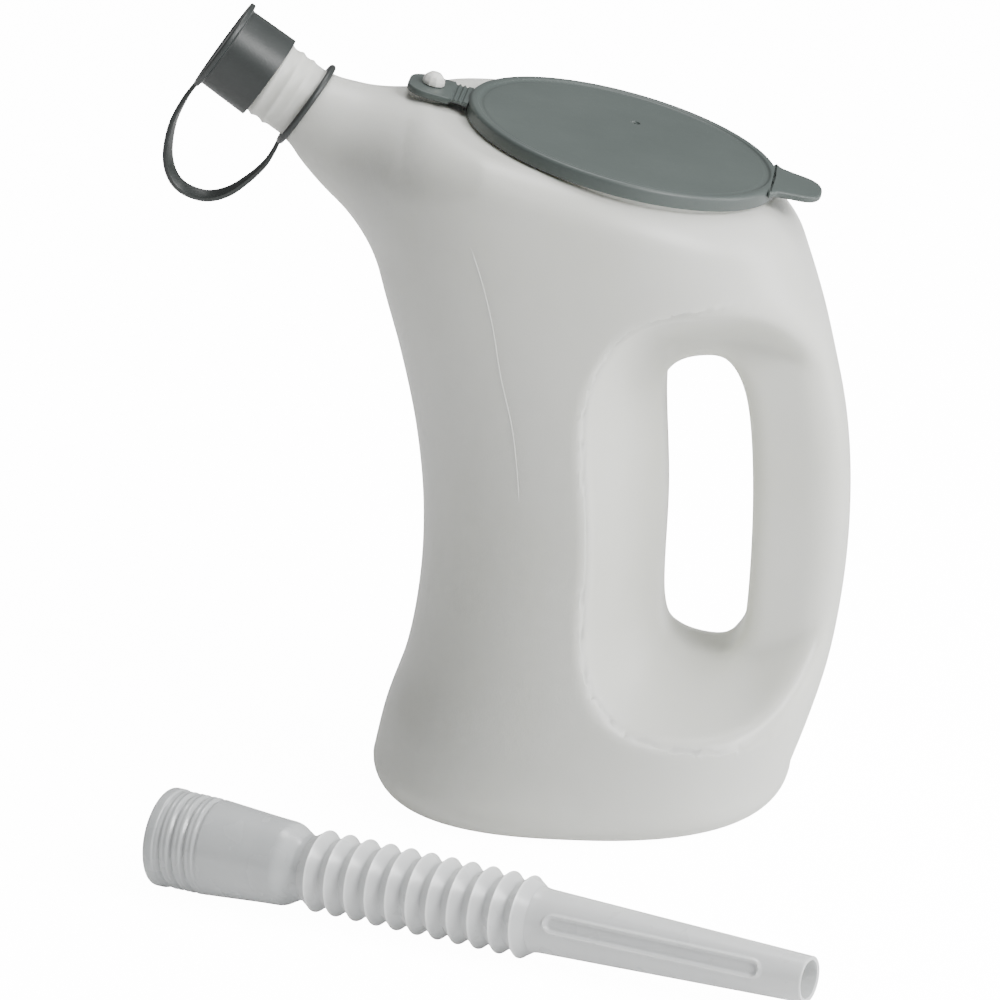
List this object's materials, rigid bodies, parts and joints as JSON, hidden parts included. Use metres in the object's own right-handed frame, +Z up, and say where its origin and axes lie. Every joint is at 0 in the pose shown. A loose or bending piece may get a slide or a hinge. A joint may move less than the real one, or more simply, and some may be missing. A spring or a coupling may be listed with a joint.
{
  "type": "oil measuring jug with flexible spout",
  "caption": "Blow-moulded oil measuring jug with integral handle, hinged lid, threaded neck with tethered cap, and a separate flexible bellows spout.",
  "frame": {"origin": "centre of the jug's flat base, on the surface the jug stands on", "axes": "+Z up, +X towards the handle, -X towards the pouring neck; the flexible spout lies on the -Y side"},
  "size_m": [0.2175, 0.2406, 0.2533],
  "materials": {
    "natural_polyethylene": "milky translucent, satin",
    "grey_polyethylene": "satin slate grey",
    "dark_polyethylene": "satin dark grey",
    "clear_polyethylene": "translucent, semi-gloss",
    "white_polyethylene": "translucent white"
  },
  "bodies": {
    "jug": {"jug_body": "natural_polyethylene", "jug_neck": "natural_polyethylene", "tether_ring": "dark_polyethylene", "tether_strap": "dark_polyethylene", "lid_stud": "white_polyethylene", "lid_anchor": "grey_polyethylene", "lid_hinge": "grey_polyethylene"},
    "lid": {"lid": "grey_polyethylene"},
    "cap": {"cap": "dark_polyethylene"},
    "spout": {"spout_coupling": "clear_polyethylene", "spout_bellows": "clear_polyethylene"},
    "nozzle": {"spout_nozzle": "clear_polyethylene"}
  },
  "joints": [
    {"name": "lid_hinge_turn", "type": "hinge", "parent": "jug", "child": "lid", "pos_m": [-0.03872, 0, 0.22624], "axis": [0, -1, 0], "range_deg": [0, 105], "deforming": ["lid_hinge"]},
    {"name": "cap_pull", "type": "slide", "parent": "jug", "child": "cap", "axis": [-0.809, 0, 0.5878], "range_m": [0, 0.02], "deforming": ["tether_strap"]},
    {"name": "spout_lift", "type": "slide", "parent": "jug", "child": "spout", "axis": [0, 0, 1], "range_m": [0, 0.3]},
    {"name": "spout_bend", "type": "hinge", "parent": "spout", "child": "nozzle", "pos_m": [-0.03522, -0.12906, 0.01349], "axis": [0, 0, 1], "range_deg": [-90, 40], "stiffness_Nm_per_rad": 0.05, "deforming": ["spout_bellows"]}
  ]
}
